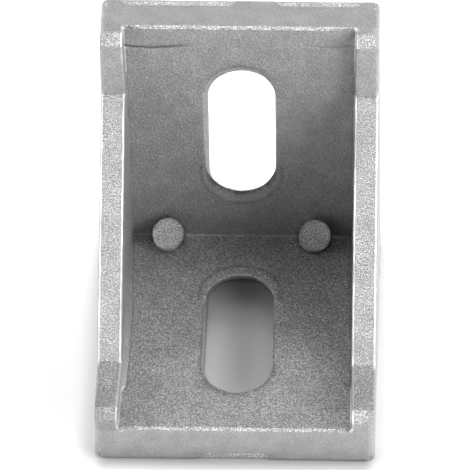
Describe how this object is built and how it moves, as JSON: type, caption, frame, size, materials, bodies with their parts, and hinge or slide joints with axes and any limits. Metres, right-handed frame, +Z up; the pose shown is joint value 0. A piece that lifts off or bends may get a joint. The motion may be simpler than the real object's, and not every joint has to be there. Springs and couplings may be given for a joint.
{
  "type": "corner bracket",
  "caption": "Right-angled cast corner bracket with slotted legs, tapered side webs and ejector pads in the inside corner, for square slotted framing.",
  "frame": {"origin": "middle of the footprint, on the outer face of the base leg", "axes": "+Z up along the upright leg, +Y towards the back, where the upright leg stands, +X across the width"},
  "size_m": [0.035, 0.04, 0.04],
  "materials": {
    "casting": "tumbled die casting"
  },
  "bodies": {
    "root": {"corner_bracket": "casting"}
  },
  "joints": []
}
